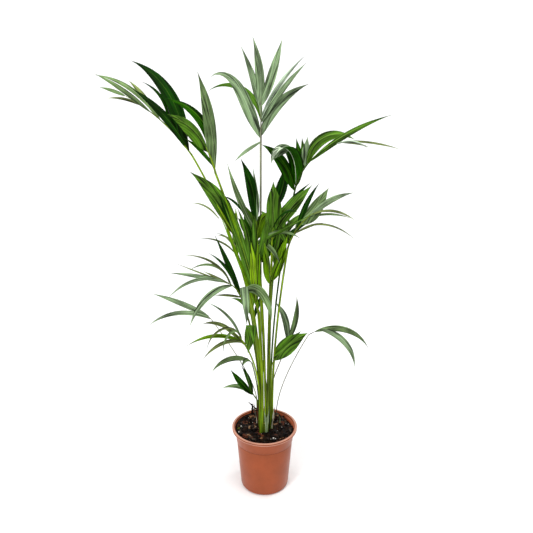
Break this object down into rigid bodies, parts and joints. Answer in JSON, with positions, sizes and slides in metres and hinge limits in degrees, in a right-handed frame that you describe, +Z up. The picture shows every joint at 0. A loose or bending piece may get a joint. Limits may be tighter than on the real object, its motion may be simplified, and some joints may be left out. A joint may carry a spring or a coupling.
{
  "type": "potted kentia palm",
  "caption": "Young palm with slender upright leaf stalks and arching fronds of narrow leaflets, growing as a clump from bark mix in a round tapered pot with a rolled rim.",
  "frame": {"origin": "centre of the pot's flat underside", "axes": "+Z up along the pot's axis, +X to the viewer's right and -Y towards the viewer of the front"},
  "size_m": [0.8861, 0.5827, 1.4013],
  "materials": {
    "pot_plastic": "moulded terracotta-coloured plastic, slight sheen",
    "bark_mix": "damp dark bark and compost mix",
    "shoot_sheath": "pale green sheaths with brown fibre",
    "leaf_stalk": "smooth yellow-green stalk, satin",
    "leaf_blade": "thin leathery leaf, satin above and matt grey-green below"
  },
  "bodies": {
    "root": {"pot": "pot_plastic", "soil": "bark_mix", "shoot_left": "shoot_sheath", "shoot_back": "shoot_sheath", "shoot_right": "shoot_sheath", "shoot_middle": "shoot_sheath", "shoot_front": "shoot_sheath", "shoot_seedling": "shoot_sheath", "petiole_left_high": "leaf_stalk", "frond_left_high": "leaf_blade", "petiole_left_upright": "leaf_stalk", "frond_left_upright": "leaf_blade", "petiole_top_fan": "leaf_stalk", "frond_top_fan": "leaf_blade", "petiole_right_high": "leaf_stalk", "frond_right_high": "leaf_blade", "petiole_back_blade": "leaf_stalk", "frond_back_blade": "leaf_blade", "petiole_centre_blade": "leaf_stalk", "frond_centre_blade": "leaf_blade", "petiole_centre_tall": "leaf_stalk", "frond_centre_tall": "leaf_blade", "petiole_left_spear": "leaf_stalk", "frond_left_spear": "leaf_blade", "petiole_bright_spear": "leaf_stalk", "frond_bright_spear": "leaf_blade", "petiole_right_spray": "leaf_stalk", "frond_right_spray": "leaf_blade", "petiole_centre_fork": "leaf_stalk", "frond_centre_fork": "leaf_blade", "petiole_left_thin": "leaf_stalk", "frond_left_thin": "leaf_blade", "petiole_left_middle": "leaf_stalk", "frond_left_middle": "leaf_blade", "petiole_left_low": "leaf_stalk", "frond_left_low": "leaf_blade", "petiole_left_lowest": "leaf_stalk", "frond_left_lowest": "leaf_blade", "petiole_left_foot": "leaf_stalk", "frond_left_foot": "leaf_blade", "petiole_left_seedling": "leaf_stalk", "frond_left_seedling": "leaf_blade", "petiole_right_seedling": "leaf_stalk", "frond_right_seedling": "leaf_blade", "petiole_right_low_pair": "leaf_stalk", "frond_right_low_pair": "leaf_blade", "petiole_right_low_blade": "leaf_stalk", "frond_right_low_blade": "leaf_blade", "petiole_back_middle": "leaf_stalk", "frond_back_middle": "leaf_blade", "petiole_back_low": "leaf_stalk", "frond_back_low": "leaf_blade"}
  },
  "joints": []
}
